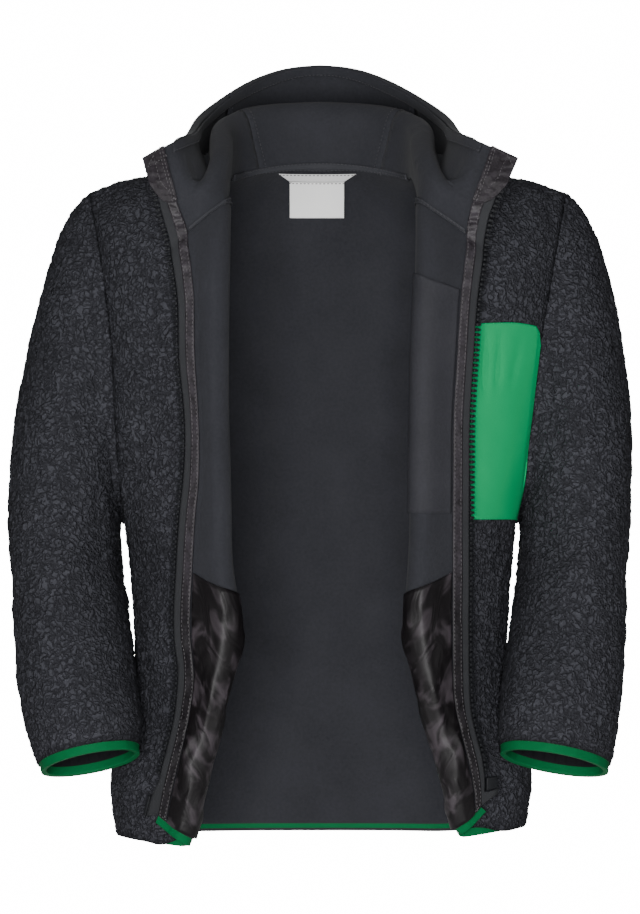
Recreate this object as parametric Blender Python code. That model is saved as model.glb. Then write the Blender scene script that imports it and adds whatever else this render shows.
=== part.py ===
"""Hooded fleece jacket, worn open, with both fronts folded back like lapels.

The jacket is cut from one thick cloth: curly pile outside, a smooth face inside.
Every panel is first drawn as a grid of points on the middle of that cloth, in
millimetres. Neighbouring grids share their seam points, so the cloth runs on
smoothly from one panel to the next. Each grid then becomes a closed wall, held
back a little at its seams. Tapes, pockets and bindings are laid on those grids.

X runs to the wearer's left, Y to the back, Z up. The origin is at the centre of the
neck, a little below the height of the back neck seam. "Half" coordinates measure x
outward from the centre line, for either side.
"""
import bpy
import bmesh
import math
from collections import defaultdict, namedtuple
from mathutils import Vector

MM = 0.001
HALF_CLOTH = 3.0           # the cloth is 6 mm thick, pile and all
SEAM_GAP = 0.3
SIDES = {"right": -1, "left": 1}

# ---------------------------------------------------------------- driving sizes
HEM = -526.0               # where the cloth ends and the hem binding starts
UNDERARM = Vector((156.5, 0.0, -277.0))
NECK_POINT = Vector((73.0, 5.0, -6.0))
NAPE = 4.5                 # height of the neck seam at the middle of the back
SHOULDER_TIP = Vector((184.0, 5.0, -20.5))
RIDGE_Y = 5.0              # the shoulder seams lie this far behind the neck centre
ROUNDNESS = 2.5            # 2 would make the body's section an ellipse
FRONT_DROP = 80.0          # height over which the chest rounds over to the shoulder
BACK_DROP = 110.0
LAPEL_GAP = 9.5            # middle to middle, lapel edge to chest
ROLL_RADIUS = 8.0          # of the fold where the front turns back
ROLL_SHARE = 0.3           # the roll takes no more than this share of the lapel
ZIP_REACH = 7.0            # the teeth stand this far out from the cloth's edge
FACING_WIDTH = 9.0
SLEEVE_GAP = 0.5           # the sleeve alone stands back this far from the armhole
SEAM_PILE = 1.2            # the pile is pressed down to this at a seam
BINDING_HEIGHT = 7.0
HEM_RISE = 7.0             # the left front's hem is this much higher than the right's
SIDE_RISE = 2.5            # the hem is this much higher at the side seams
FOLD_DROP = 5.0            # the hem hangs this much lower at the folded-back edge
BACK_LOWER = 2.2           # the back's cloth hangs this much lower at its middle

LOWER_ROWS = 10            # hem to underarm
UPPER_ROWS = 12            # underarm to shoulder
CHEST_COLUMNS = 7          # roll to side seam or armhole
NECK_COLUMNS = 3           # of those, along the neck's side at the top
BACK_NECK_X = (0, 17, 34, 50, 64)
LAPEL_CORNER = 4           # column where the lapel meets the roll
ROLL_END = 8               # column where the roll meets the chest
NECK_COLUMN = ROLL_END + NECK_COLUMNS

Body = namedtuple("Body", "at half_width front_depth back_depth")
BODY = [
    Body(-534, 156, 88, 90),
    Body(-522, 162, 90, 92),
    Body(-500, 164.5, 91, 92),
    Body(-470, 160.5, 93, 92),
    Body(-440, 149, 94, 92),
    Body(-400, 145.5, 96, 92),
    Body(-345, 147.5, 98, 92),
    Body(-300, 151.5, 99, 92),
    Body(-285, 154.5, 100, 93),
    Body(-277, 157.5, 100, 93),
    Body(-250, 163, 100, 93),
    Body(-220, 168, 100, 94),
    Body(-150, 177, 98, 94),
    Body(-100, 183, 93, 94),
    Body(-60, 188, 87, 93),
    Body(-24, 190, 82, 93),
    Body(20, 190, 82, 95),
]

# The fold's edge and the line of the teeth, as distances from the centre line.
# The slant is how much higher the cloth is at the teeth than at the fold.
Opening = namedtuple("Opening", "at fold_right teeth_right fold_left teeth_left slant")
OPENING = [
    Opening(-536, 100, 133, 106, 132, 17),
    Opening(-498, 92, 126.5, 98, 130, 13),
    Opening(-456, 82, 117, 87, 121, 8),
    Opening(-436, 78, 114, 81, 118, 6),
    Opening(-410, 71, 111, 75, 117, 4),
    Opening(-388, 66, 113, 71, 117, 2),
    Opening(-364, 63.5, 115, 68, 116.5, 0),
    Opening(-340, 63.5, 114, 67, 117, 0),
    Opening(-320, 68, 113, 68.5, 117, 0),
    Opening(-284, 69, 111, 70, 117, 0),
    Opening(-240, 70, 107, 70, 117.5, 0),
    Opening(-200, 71.5, 107, 71, 118, 0),
    Opening(-150, 72, 111, 72, 121, -3),
    Opening(-100, 72, 112, 75, 124, -9),
    Opening(-60, 72, 116, 77, 128, -18),
    Opening(-37, 72, 119, 77, 130, -24),
]

Armhole = namedtuple("Armhole", "at front_x back_x")
ARMHOLE = [
    Armhole(-277, 156.5, 156.5),
    Armhole(-262, 158, 158.5),
    Armhole(-245, 159, 160.5),
    Armhole(-220, 161, 163.5),
    Armhole(-187, 163, 166.5),
    Armhole(-150, 164.5, 169),
    Armhole(-102, 169.5, 173),
    Armhole(-77, 173, 176),
    Armhole(-53, 177.5, 179),
    Armhole(-20.5, 184, 184),
]

# A row for each ring of the sleeve below the armhole: its outermost and innermost
# edge from the front, how far back its centre lies, half its depth, and how much
# higher its front is than its centre.
Ring = namedtuple("Ring", "outer_x outer_z inner_x inner_z centre_y half_depth lift")
SLEEVE = [
    Ring(198, -35, 158.5, -281, 4, 51, 0),
    Ring(209, -56.5, 159.5, -287, 4, 54, 0),
    Ring(218.5, -86.5, 159.5, -294, 4, 57, 0),
    Ring(228, -121, 158.5, -302, 3, 59, 0),
    Ring(236, -158, 158, -312, 2, 60, 0),
    Ring(243, -196, 157, -324, 0, 60, 0),
    Ring(247, -238, 155.2, -338, -7, 59, 1),
    Ring(248, -282, 152.5, -354, -19, 57, 2),
    Ring(245.5, -325, 149.5, -373, -31, 54, 4),
    Ring(242.5, -368, 146, -395, -45, 50, 6),
    Ring(239, -408, 143, -419, -61, 45, 8),
    Ring(232.5, -443, 140, -441, -72, 40, 9),
    Ring(222.5, -472.5, 140.5, -458, -80, 36, 9.5),
]
# The wearer's left side is fuller than the right: how much further out its body and
# the outer edge of its sleeve stand.
Fuller = namedtuple("Fuller", "at body sleeve")
FULLER = [
    Fuller(-534, 1.5, 6.5),
    Fuller(-500, 2, 6.5),
    Fuller(-470, 2, 6.5),
    Fuller(-430, 1.6, 1),
    Fuller(-370, 1.4, 0),
    Fuller(-300, 1.2, -2),
    Fuller(-240, 2, 1.5),
    Fuller(-170, 7, 7.6),
    Fuller(-100, 11.8, 11.8),
    Fuller(-20.5, 12.5, 12.5),
]

# A row for each section of the hood, from the zip's edge (column 0) to the middle
# of the back (column 16): the crest where it rolls over, the bottom of the pouch,
# the edge of the face opening, half the pouch's width, the roll's radius, and how
# much wider the edge stands on the wearer's left.
Hood = namedtuple("Hood", "at cx cy cz bx by bz ex ey ez half roll left")
HOOD = [
    Hood(0, 119, -86, -38, 125.5, -86, -14, 131.3, -80, 7.5, 0, 0, 14),
    Hood(1, 111, -86, -33, 118, -85, -10, 123.8, -78.5, 12, 0, 0, 12),
    Hood(2, 103, -86, -28, 111, -84, -7, 117, -76, 16, 0, 0, 10.5),
    Hood(4, 88.5, -81, -14, 97, -74, -17, 110, -65, 21.8, 4.4, 2.5, 9),
    Hood(6, 80.5, -60, 5, 90, -54, -9, 105, -47, 24.5, 4.4, 4, 9),
    Hood(8, 78.5, -34, 17, 89, -28, -5, 102.5, -24, 28.5, 4.6, 6, 6.5),
    Hood(11, 79, 9, 33, 92.5, 17, 8, 97, 23, 40.5, 7.6, 6.5, 5),
    Hood(12, 75, 32, 40, 90, 52, -8, 90, 54, 49.5, 8.5, 7, 4),
    Hood(13, 64, 53, 47, 80, 88, -36, 76, 88, 63.5, 11, 7.5, 2),
    Hood(14, 44, 73, 52, 56, 114, -80, 54, 120, 77.5, 16, 8, 0),
    Hood(15, 21, 82, 54, 28, 124, -94, 27, 142, 88.5, 19, 8, 0),
    Hood(16, 0, 85, 55, 0, 127, -99, 0, 151, 92, 20.5, 8, 0),
]
HOOD_ROWS_PER_KEY = 2
HOOD_SEAM_COLUMN = 13      # where the side panels meet the centre panel


# --------------------------------------------------------------- shape functions
def smooth(table, column, at):
    """One column of a table at a height, on a smooth curve through its rows."""
    places = [row.at for row in table]
    values = [getattr(row, column) for row in table]
    last = len(table) - 1
    at = min(max(at, places[0]), places[last])
    i = max(k for k in range(last) if places[k] <= at)

    def slope(k):
        low, high = max(k - 1, 0), min(k + 1, last)
        return (values[high] - values[low]) / (places[high] - places[low])

    span = places[i + 1] - places[i]
    t = (at - places[i]) / span
    return ((2 * t ** 3 - 3 * t ** 2 + 1) * values[i]
            + (t ** 3 - 2 * t ** 2 + t) * span * slope(i)
            + (3 * t ** 2 - 2 * t ** 3) * values[i + 1]
            + (t ** 3 - t ** 2) * span * slope(i + 1))


def mix(a, b, t):
    return a + (b - a) * t


def ease(t):
    t = min(max(t, 0.0), 1.0)
    return t * t * (3 - 2 * t)


def round_over(depth, drop):
    """How much of its full depth the body has at a drop below the shoulder (0 to 1)."""
    drop = min(max(drop, 0.0), 1.0)
    return depth * (1 - (1 - drop) ** 2.2) ** (1 / 2.2)


def fuller(side, z, part="body"):
    return smooth(FULLER, part, z) if side == "left" else 0.0


def half_width(side, z):
    return smooth(BODY, "half_width", z) + fuller(side, z)


def ridge_z(side, x):
    """Height of the line over the shoulder, and of its run-on across the neck."""
    tip = SHOULDER_TIP.x + fuller(side, SHOULDER_TIP.z)
    if x <= NECK_POINT.x:
        return mix(NAPE + 20, NECK_POINT.z, (x / NECK_POINT.x) ** 1.5)
    t = (x - NECK_POINT.x) / (tip - NECK_POINT.x)
    return mix(NECK_POINT.z, SHOULDER_TIP.z, t ** 3)


def body_y(side, face, x, z):
    """How far back the middle of the cloth lies, on the chest or on the back."""
    across = min(x / half_width(side, z), 1.0)
    depth = smooth(BODY, face + "_depth", z) * (1 - across ** ROUNDNESS) ** (1 / ROUNDNESS)
    sign = -1 if face == "front" else 1
    drop = FRONT_DROP if face == "front" else BACK_DROP
    below = (ridge_z(side, x) - z) / drop
    return RIDGE_Y + round_over(sign * depth - RIDGE_Y, below)


def body_angle(side, x, z):
    """Angle round the body's section, 0 at the side and pi/2 at the centre."""
    across = min(x / half_width(side, z), 1.0)
    return math.acos(across ** (ROUNDNESS / 2))


def body_x(side, angle, z):
    return half_width(side, z) * math.cos(angle) ** (2 / ROUNDNESS)


def shoulder_seam(side):
    """(x, z) of the points on the shoulder seam, neck point to shoulder tip."""
    tip = SHOULDER_TIP.x + fuller(side, SHOULDER_TIP.z)
    columns = CHEST_COLUMNS - NECK_COLUMNS
    across = [mix(NECK_POINT.x, tip, k / columns) for k in range(columns + 1)]
    return [(x, ridge_z(side, x)) for x in across]


def row_heights():
    """(t, z at the side) for each row; t runs 0 to 1 from underarm to shoulder."""
    rows = [(None, mix(HEM, UNDERARM.z, j / LOWER_ROWS)) for j in range(LOWER_ROWS)]
    for j in range(UPPER_ROWS + 1):
        even = j / UPPER_ROWS
        t = mix((1 - math.cos(math.pi * even)) / 2, math.sin(math.pi / 2 * even), 0.6)
        rows.append((t, mix(UNDERARM.z, SHOULDER_TIP.z, t)))
    return rows


def side_point(side, face, t, z):
    """The last point of a row: on the side seam, or on the armhole."""
    if t is None:
        return Vector((half_width(side, z), 0, z))
    if t == 0:
        return UNDERARM.copy()
    if t == 1:
        return SHOULDER_TIP + Vector((fuller(side, z), 0, 0))
    x = smooth(ARMHOLE, face + "_x", z) + fuller(side, z)
    return Vector((x, body_y(side, face, x, z), z))


# -------------------------------------------------------------------- the fronts
def front_top_row(side):
    """(x, z) of the top row's chest columns: up the neck's side, then the shoulder."""
    fold = smooth(OPENING, "fold_" + side, OPENING[-1].at) + HALF_CLOTH
    points = []
    for k in range(NECK_COLUMNS):
        t = k / NECK_COLUMNS
        points.append((mix(fold, NECK_POINT.x, t), mix(NECK_POINT.z, -30.0, (1 - t) ** 2)))
    return points + shoulder_seam(side)


def gathering(t):
    """How far a row above the underarm has drawn in to the top row's places."""
    return 0.0 if t is None else 1 - (1 - t) ** 0.33


def front_row(side, t, z_side):
    """One row of a front, from the cloth's edge beside the zip to the side."""
    fold_top = OPENING[-1].at
    z_fold = mix(UNDERARM.z, fold_top, t) if t is not None else \
        z_side - FOLD_DROP * ease((-430 - z_side) / 96)
    up = gathering(t)
    fold = smooth(OPENING, "fold_" + side, z_fold) + HALF_CLOTH
    edge = smooth(OPENING, "teeth_" + side, z_fold) - ZIP_REACH
    slant = smooth(OPENING, "slant", z_fold)
    end = side_point(side, "front", t, z_side)

    radius = min(ROLL_RADIUS, ROLL_SHARE * (edge - fold))
    start_x = fold + radius
    facing = min(FACING_WIDTH, (edge - start_x) * 0.45)
    start_angle = body_angle(side, start_x, z_fold)
    end_angle = body_angle(side, end.x, end.z)
    top = front_top_row(side)
    chest = []
    for k in range(CHEST_COLUMNS + 1):
        part = k / CHEST_COLUMNS
        z = mix(z_fold, z_side, part)
        if t is not None:
            z = mix(UNDERARM.z, top[k][1], t)
        x = body_x(side, mix(start_angle, end_angle, part), z)
        x = mix(x, top[k][0], up)
        chest.append(Vector((x, body_y(side, "front", x, z), z)))
    chest[-1] = end

    # Where the hem slants up to the teeth, it does so from the very edge of the fold.
    hinge = fold if slant > 0 else start_x
    lapel = []
    for k in range(LAPEL_CORNER + 1):
        if k <= 1:
            x = edge - k * facing
        else:
            x = mix(edge - facing, start_x, (k - 1) / (LAPEL_CORNER - 1))
        out = (x - start_x) / (edge - start_x)
        z = z_fold + slant * (x - hinge) / (edge - hinge)
        gap = mix(2 * radius, LAPEL_GAP, ease(out * 1.3))
        lapel.append(Vector((x, body_y(side, "front", x, z) - gap, z)))

    roll = []
    near, far = lapel[-1], chest[0]
    for k in range(1, ROLL_END - LAPEL_CORNER):
        turn = math.pi * k / (ROLL_END - LAPEL_CORNER)
        point = (near + far) / 2 + (near - far) / 2 * math.cos(turn)
        at_neck = mix(near.x, far.x, math.sin(min(turn, math.pi / 2)))
        point.x = mix(point.x - radius * math.sin(turn), at_neck, up ** 4)
        point.z = mix(near.z, far.z, math.sin(min(turn, math.pi / 2)))
        roll.append(point)
    return lapel + roll + chest


def back_row(side, t, z_side):
    """One row of half the back, from the centre to the side."""
    up = gathering(t)
    end = side_point(side, "back", t, z_side)
    end_angle = body_angle(side, end.x, end.z)
    top = [(x, mix(NAPE, NECK_POINT.z, (x / NECK_POINT.x) ** 2)) for x in BACK_NECK_X]
    top += shoulder_seam(side)
    columns = len(top) - 1
    row = []
    for k, (top_x, top_z) in enumerate(top):
        z = z_side if t is None else mix(UNDERARM.z, top_z, t)
        x = body_x(side, mix(math.pi / 2, end_angle, k / columns), z)
        x = mix(x, top_x, up)
        row.append(Vector((x, body_y(side, "back", x, z), z)))
    row[-1] = end
    return row


# ------------------------------------------------------------------- the sleeves
def sleeve_grid(side, front, back):
    """Rings from the armhole, whose points are those of the front and the back."""
    rows = row_heights()[LOWER_ROWS:]
    grid = [[front[LOWER_ROWS + j][-1] for j in range(UPPER_ROWS + 1)]
            + [back[LOWER_ROWS + j][-1] for j in range(UPPER_ROWS - 1, 0, -1)]]
    angles = [math.acos(1 - 2 * t) for t, _ in rows]
    angles += [2 * math.pi - a for a in reversed(angles[1:-1])]
    for ring in SLEEVE:
        outer = Vector((ring.outer_x + fuller(side, ring.outer_z, "sleeve") - HALF_CLOTH,
                        ring.centre_y, ring.outer_z))
        inner = Vector((ring.inner_x + HALF_CLOTH, ring.centre_y, ring.inner_z))
        centre, reach = (outer + inner) / 2, (outer - inner) / 2
        forward = Vector((0, -ring.half_depth, ring.lift))
        grid.append([centre - reach * math.cos(a) + forward * math.sin(a) for a in angles])
    return grid


# ---------------------------------------------------------------------- the hood
def through(keys, rows_per_key):
    """Points on a smooth curve through the keys."""
    points = []
    last = len(keys) - 1
    for i in range(last):
        before = keys[max(i - 1, 0)]
        after = keys[min(i + 2, last)]
        for j in range(rows_per_key):
            t = j / rows_per_key
            a, b = keys[i], keys[i + 1]
            slope_a, slope_b = (b - before) / 2, (after - a) / 2
            points.append((2 * t ** 3 - 3 * t ** 2 + 1) * a
                          + (t ** 3 - 2 * t ** 2 + t) * slope_a
                          + (3 * t ** 2 - 2 * t ** 3) * b
                          + (t ** 3 - t ** 2) * slope_b)
    return points + [keys[last]]


def hood_section(side, seam, at):
    """One section of the hood, from the neck seam to the face opening's edge."""
    def value(column):
        return smooth(HOOD, column, at)

    wider = value("left") if side == "left" else 0.0
    crest = Vector((value("cx") + 0.6 * wider, value("cy"), value("cz")))
    bottom = Vector((value("bx") + 0.8 * wider, value("by"), value("bz")))
    edge = Vector((value("ex") + wider, value("ey"), value("ez")))
    half = max(value("half"), 0.0)
    out = Vector((edge.x - crest.x, edge.y - crest.y, 0)).normalized()
    inner, outer = bottom - out * half, bottom + out * half

    def at_height(point, z):
        return Vector((point.x, point.y, z))

    # Near the zip there is no pouch, and the section runs straight up to the edge.
    flat = 1 - min(half / 4.2, 1.0)
    deep = at_height(mix(inner, mix(crest, bottom, 0.55), flat),
                     mix(crest.z, bottom.z, mix(0.84, 0.55, flat)))
    low = at_height(mix(outer, mix(bottom, edge, 0.4), flat),
                    mix(bottom.z, edge.z, mix(0.14, 0.4, flat)))
    roll = value("roll")
    near = mix(0.15, 0.35, flat)
    keys = [
        seam,
        mix(seam, crest, 0.5) - out * roll * 0.6,
        mix(crest, seam, near) - out * roll,
        crest,
        mix(crest, deep, near) + out * roll * 0.8,
        deep,
        bottom,
        low,
        mix(low, edge, 0.5) + out * half * 0.3,
        edge,
    ]
    return through(keys, HOOD_ROWS_PER_KEY)


def hood_columns(side, front, back):
    """Sections of half the hood, zip edge to centre back."""
    seams = front[-1][:NECK_COLUMN + 1]
    seams += [back[-1][k] for k in reversed(range(len(BACK_NECK_X)))]
    return [hood_section(side, seam, at) for at, seam in enumerate(seams)]


# --------------------------------------------------------- grids, normals, walls
normal_sums = defaultdict(Vector)


def key(point):
    return tuple(round(c * 50) for c in point)


def placed(grid, side):
    """A half grid on its own side of the jacket."""
    return [[Vector((p.x * SIDES[side], p.y, p.z)) for p in row] for row in grid]


def hem_lifted(grid, side):
    """A half grid with its hem lifted towards the side seam, and on the left front."""
    def lift(p):
        out = ease((p.x - 100) / 55)
        share = HEM_RISE * (1.0 if p.y < 0 else out) if side == "left" else 0.0
        lower = BACK_LOWER * (1 - out) if p.y > 0 else 0.0
        return (share + SIDE_RISE * out - lower) * ease((-300 - p.z) / 230)

    return [[Vector((p.x, p.y, p.z + lift(p))) for p in row] for row in grid]


def add_normals(grid, closed=False, flip=False):
    """Add each quad's normal to its corners; panels that share a point share it."""
    columns = len(grid[0])
    for low, high in zip(grid, grid[1:]):
        for c in range(columns if closed else columns - 1):
            d = (c + 1) % columns
            across = (high[d] - low[c]).cross(high[c] - low[d])
            if flip:
                across.negate()
            for p in (low[c], low[d], high[c], high[d]):
                normal_sums[key(p)] += across.normalized()


def normals_of(grid):
    return [[normal_sums[key(p)].normalized() for p in row] for row in grid]


def held_back(layer, seams, closed, half):
    """Draw a layer's points back from each seam."""
    columns = len(layer[0])

    def pull(p, towards):
        return p + (towards - p).normalized() * half

    if "bottom" in seams:
        layer[0] = [pull(layer[0][c], layer[1][c]) for c in range(columns)]
    if "top" in seams:
        layer[-1] = [pull(layer[-1][c], layer[-2][c]) for c in range(columns)]
    if not closed:
        for row in layer:
            if "start" in seams:
                row[0] = pull(row[0], row[1])
            if "end" in seams:
                row[-1] = pull(row[-1], row[-2])
    return layer


def wall(name, grid, normals, low, high, seams=(), closed=False, gap=SEAM_GAP / 2):
    """A closed wall between two offsets from a grid, along its normals."""
    layers = []
    rows, columns = len(grid), len(grid[0])

    def at_seam(r, c):
        return (r == 0 and "bottom" in seams or r == rows - 1 and "top" in seams
                or not closed and c == 0 and "start" in seams
                or not closed and c == columns - 1 and "end" in seams)

    for offset in (low, high):
        layer = [[grid[r][c] + normals[r][c] * (min(offset, SEAM_PILE) if at_seam(r, c)
                                                else offset)
                  for c in range(columns)] for r in range(rows)]
        layers.append(held_back(layer, seams, closed, gap))
    mesh = bmesh.new()
    verts = [[[mesh.verts.new(p * MM) for p in row] for row in layer] for layer in layers]
    inside, outside = verts
    steps = range(columns if closed else columns - 1)
    for r in range(rows - 1):
        for c in steps:
            d = (c + 1) % columns
            mesh.faces.new((outside[r][c], outside[r][d], outside[r + 1][d], outside[r + 1][c]))
            mesh.faces.new((inside[r][c], inside[r + 1][c], inside[r + 1][d], inside[r][d]))
    rim = [((r, c), (r, (c + 1) % columns)) for r in (0, rows - 1) for c in steps]
    if not closed:
        rim += [((r, c), (r + 1, c)) for c in (0, columns - 1) for r in range(rows - 1)]
    for (r, c), (s, d) in rim:
        # Both panels of a seam split its wall along the same diagonal.
        if key(grid[r][c]) > key(grid[s][d]):
            (r, c), (s, d) = (s, d), (r, c)
        mesh.faces.new((inside[r][c], inside[s][d], outside[s][d]))
        mesh.faces.new((inside[r][c], outside[s][d], outside[r][c]))
    bmesh.ops.recalc_face_normals(mesh, faces=mesh.faces)
    if mesh.calc_volume(signed=True) < 0:
        bmesh.ops.reverse_faces(mesh, faces=mesh.faces)
    data = bpy.data.meshes.new(name)
    mesh.to_mesh(data)
    mesh.free()
    data.shade_smooth()
    data.set_sharp_from_angle(angle=math.radians(40))
    piece = bpy.data.objects.new(name, data)
    jacket.objects.link(piece)
    return piece


def between(grid, row, column):
    """A point between a grid's points; past its edges the last cell runs on."""
    r = min(max(int(math.floor(row)), 0), len(grid) - 2)
    c = min(max(int(math.floor(column)), 0), len(grid[0]) - 2)
    u, v = row - r, column - c
    low = mix(grid[r][c], grid[r][c + 1], v)
    high = mix(grid[r + 1][c], grid[r + 1][c + 1], v)
    return mix(low, high, u)


def steps_between(start, end):
    """Start, end and each whole number between them."""
    inner = range(math.floor(start) + 1, math.ceil(end))
    return [start] + [float(k) for k in inner] + [end]


def crossing(rows, columns):
    """The places where rows and columns cross."""
    return [[(r, c) for c in columns] for r in rows]


def patch(name, grid, normals, places, low, high, swell=None):
    """A wall laid on a grid at the given places; swell lifts it off the smooth face."""
    part = [[between(grid, r, c) for r, c in row] for row in places]
    part_normals = [[between(normals, r, c).normalized() for r, c in row] for row in places]
    if swell:
        part = [[p - n * swell(*place) for p, n, place in zip(*rows_of)]
                for rows_of in zip(part, part_normals, places)]
    return wall(name, part, part_normals, low, high)


def walk(points, distance):
    """Place on a row of points, as a number of steps, at a distance from its start."""
    for k, (a, b) in enumerate(zip(points, points[1:])):
        step = (b - a).length
        if distance <= step:
            return k + distance / step
        distance -= step
    return len(points) - 1.0


def run_on(grid, distance):
    """The first row of a grid, and that row moved on past the grid's edge."""
    return [[p + (p - q).normalized() * distance for p, q in zip(grid[0], grid[1])], grid[0]]


def finish(piece, colour, roughness, metallic=0.0):
    """Give a piece its own material."""
    material = bpy.data.materials.new(piece.name)
    material.use_nodes = True
    shader = material.node_tree.nodes["Principled BSDF"]
    shader.inputs["Base Color"].default_value = (*colour, 1)
    shader.inputs["Roughness"].default_value = roughness
    shader.inputs["Metallic"].default_value = metallic
    piece.data.materials.append(material)


FLEECE = (0.030, 0.033, 0.038)
LINING = (0.040, 0.042, 0.048)
TAFFETA = (0.060, 0.048, 0.055)
GREEN = (0.010, 0.50, 0.16)
DARK_GREEN = (0.004, 0.22, 0.06)
GREY = (0.055, 0.058, 0.062)
LABEL = (0.70, 0.70, 0.70)

# -------------------------------------------------------------------- modelling
for old in list(bpy.data.objects):
    bpy.data.objects.remove(old, do_unlink=True)
jacket = bpy.data.collections.new("hooded_fleece_jacket")
bpy.context.scene.collection.children.link(jacket)

rows = row_heights()
fronts = {s: [front_row(s, t, z) for t, z in rows] for s in SIDES}
half_backs = {s: [back_row(s, t, z) for t, z in rows] for s in SIDES}
sleeves = {s: placed(sleeve_grid(s, fronts[s], half_backs[s]), s) for s in SIDES}
hood_halves = {s: placed(hood_columns(s, fronts[s], half_backs[s]), s) for s in SIDES}
fronts = {s: placed(hem_lifted(fronts[s], s), s) for s in SIDES}
half_backs = {s: placed(hem_lifted(half_backs[s], s), s) for s in SIDES}

back = [list(reversed(r)) + left[1:]
        for r, left in zip(half_backs["right"], half_backs["left"])]
hood_sections = hood_halves["right"] + list(reversed(hood_halves["left"]))[1:]
hood = [list(row) for row in zip(*hood_sections)]

add_normals(back, flip=True)
add_normals(hood, flip=True)
for side in SIDES:
    add_normals(fronts[side], flip=(side == "right"))
    add_normals(sleeves[side], closed=True, flip=(side == "left"))

# The seam under the arm faces straight down, between the body and the sleeve.
for sign in SIDES.values():
    normal_sums[key(Vector((sign * UNDERARM.x, UNDERARM.y, UNDERARM.z)))] = Vector((0, 0, -1))

# The shell: back, fronts, sleeves and the three panels of the hood.
back_normals, hood_normals = normals_of(back), normals_of(hood)
front_normals = {s: normals_of(fronts[s]) for s in SIDES}
piece = wall("back_panel", back, back_normals, -HALF_CLOTH, HALF_CLOTH,
             seams=("start", "end", "top"))
finish(piece, FLEECE, 0.95)
for side in SIDES:
    piece = wall("front_" + side, fronts[side], front_normals[side],
                 -HALF_CLOTH, HALF_CLOTH, seams=("end", "top"))
    finish(piece, FLEECE, 0.95)
    piece = wall("sleeve_" + side, sleeves[side], normals_of(sleeves[side]),
                 -HALF_CLOTH, HALF_CLOTH, seams=("bottom",), closed=True, gap=SLEEVE_GAP)
    finish(piece, FLEECE, 0.95)

last = len(hood[0]) - 1
cuts = {"hood_side_right": (0, HOOD_SEAM_COLUMN, ("bottom", "end")),
        "hood_centre": (HOOD_SEAM_COLUMN, last - HOOD_SEAM_COLUMN, ("bottom", "start", "end")),
        "hood_side_left": (last - HOOD_SEAM_COLUMN, last, ("bottom", "start"))}
for name, (first, end, seams) in cuts.items():
    piece = wall(name, [row[first:end + 1] for row in hood],
                 [row[first:end + 1] for row in hood_normals],
                 -HALF_CLOTH, HALF_CLOTH, seams=seams)
    finish(piece, FLEECE, 0.95)

# What lies on the smooth face is placed by lifts from the middle of the cloth,
# counted downward through the face.
FACE = -HALF_CLOTH - 0.4
TAPE_LIFT = (FACE - 1.0, FACE)
FACING_LIFT = (FACE - 2.2, FACE - 1.4)
GUARD_LIFT = (FACE - 4.2, FACE - 3.0)

# The edge of a front and the edge of the hood above it, in one grid of five columns.
edges, edge_normals = {}, {}
hoods, hoods_normals = {}, {}
for side in SIDES:
    turn = 1 if side == "right" else -1
    hoods[side] = [row[::turn] for row in hood]
    hoods_normals[side] = [row[::turn] for row in hood_normals]
    corner = slice(0, LAPEL_CORNER + 1)
    edges[side] = ([row[corner] for row in fronts[side][:-2] + fronts[side][-1:]]
                   + [row[corner] for row in hoods[side][2:]])
    edge_normals[side] = ([row[corner] for row in front_normals[side][:-2]
                           + front_normals[side][-1:]]
                          + [row[corner] for row in hoods_normals[side][2:]])
TOP_ROW = len(edges["right"]) - 1.1
ZIP_FOOT = {"right": 1.1, "left": 0.95}    # row where the teeth start
# The tape's foot: its row on the cloth, then its outer edge's row and column. There it
# widens, on the right to carry the pin and on the left below the box.
TAPE_FOOT = {"right": [(0.05, -0.32, -1.2), (0.9, 0.5, -1.0), (1.05, 1.05, -0.6)],
             "left": [(0.05, -0.2, -2.7), (0.3, 0.0, -2.7), (0.36, 0.36, -0.6)]}


def guard_places():
    """The chin guard, from the teeth to the facing, its lower outer corner cut off."""
    places = []
    for v in (0.0, 0.12, 0.25, 0.4, 0.55, 0.7, 0.85, 1.0):
        row = []
        for u in (0.0, 0.2, 0.4, 0.6, 0.8, 1.0):
            length = 10.4 - 4.6 * (1 - u) ** 2
            row.append((TOP_ROW - length * (1 - v), mix(-1.1, 1.02, u)))
        places.append(row)
    return places


for side in SIDES:
    grid, normals = edges[side], edge_normals[side]
    long_rows = steps_between(0.05, TOP_ROW)
    teeth_rows = steps_between(ZIP_FOOT[side], TOP_ROW - 0.5)
    tape_rows = TAPE_FOOT[side] + [(r, r, -0.6) for r in steps_between(1.2, TOP_ROW)]
    piece = patch("zip_tape_" + side, grid, normals,
                  [[(far, c), (r, 0.0), (r, 0.55)] for r, far, c in tape_rows], *TAPE_LIFT)
    finish(piece, GREY, 0.8)
    piece = patch("zip_teeth_" + side, grid, normals,
                  crossing(teeth_rows, [-1.08, -0.64]), FACE - 1.9, FACE + 0.9)
    finish(piece, GREY, 0.5)
    piece = patch("facing_" + side, grid, normals,
                  crossing(long_rows, [0.08, 0.92]), *FACING_LIFT)
    finish(piece, TAFFETA, 0.45)
    piece = patch("chin_guard_" + side, grid, normals, guard_places(), *GUARD_LIFT)
    finish(piece, TAFFETA, 0.45)

piece = patch("zip_pin", edges["right"], edge_normals["right"],
              [[(-0.36, -1.56), (-0.36, -1.25)], [(0.42, -1.38), (0.42, -1.08)]],
              FACE - 1.7, FACE + 0.7)
finish(piece, GREY, 0.4, 0.3)
piece = patch("zip_box", edges["left"], edge_normals["left"],
              [[(0.1, -2.4), (0.42, -0.75)], [(0.58, -2.3), (0.88, -0.75)]],
              FACE - 2.4, FACE + 1.4)
finish(piece, GREY, 0.4, 0.3)

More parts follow.
